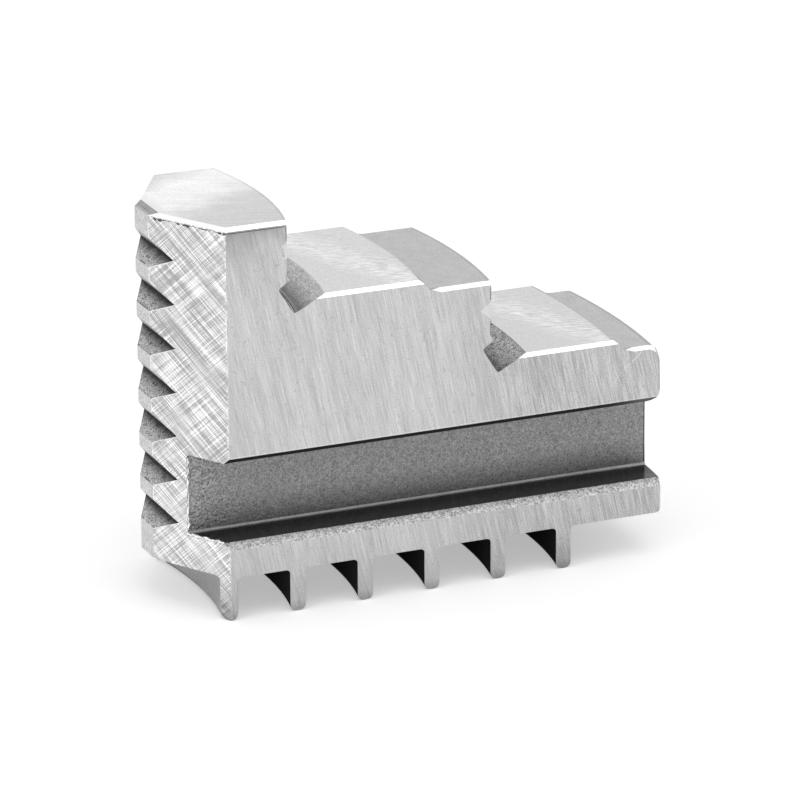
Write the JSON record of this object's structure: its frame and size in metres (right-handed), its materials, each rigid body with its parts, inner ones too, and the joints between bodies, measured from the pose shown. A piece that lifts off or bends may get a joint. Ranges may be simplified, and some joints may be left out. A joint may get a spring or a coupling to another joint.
{
  "type": "chuck jaw",
  "caption": "One-piece hard jaw for a scroll chuck: serrated wedge nose, stepped ground seats with undercuts, guide grooves in both sides and crescent scroll teeth underneath.",
  "frame": {"origin": "middle of the footprint, level with the tips of the scroll teeth", "axes": "+X from the serrated nose to the rear, +Y across the jaw, +Z from the scroll teeth up to the tall step"},
  "size_m": [0.058, 0.0224, 0.0447],
  "materials": {
    "ground_tool_steel": "hardened steel, ground bright on the working faces, blasted grey in the guide grooves"
  },
  "bodies": {
    "root": {"jaw": "ground_tool_steel"}
  },
  "joints": []
}
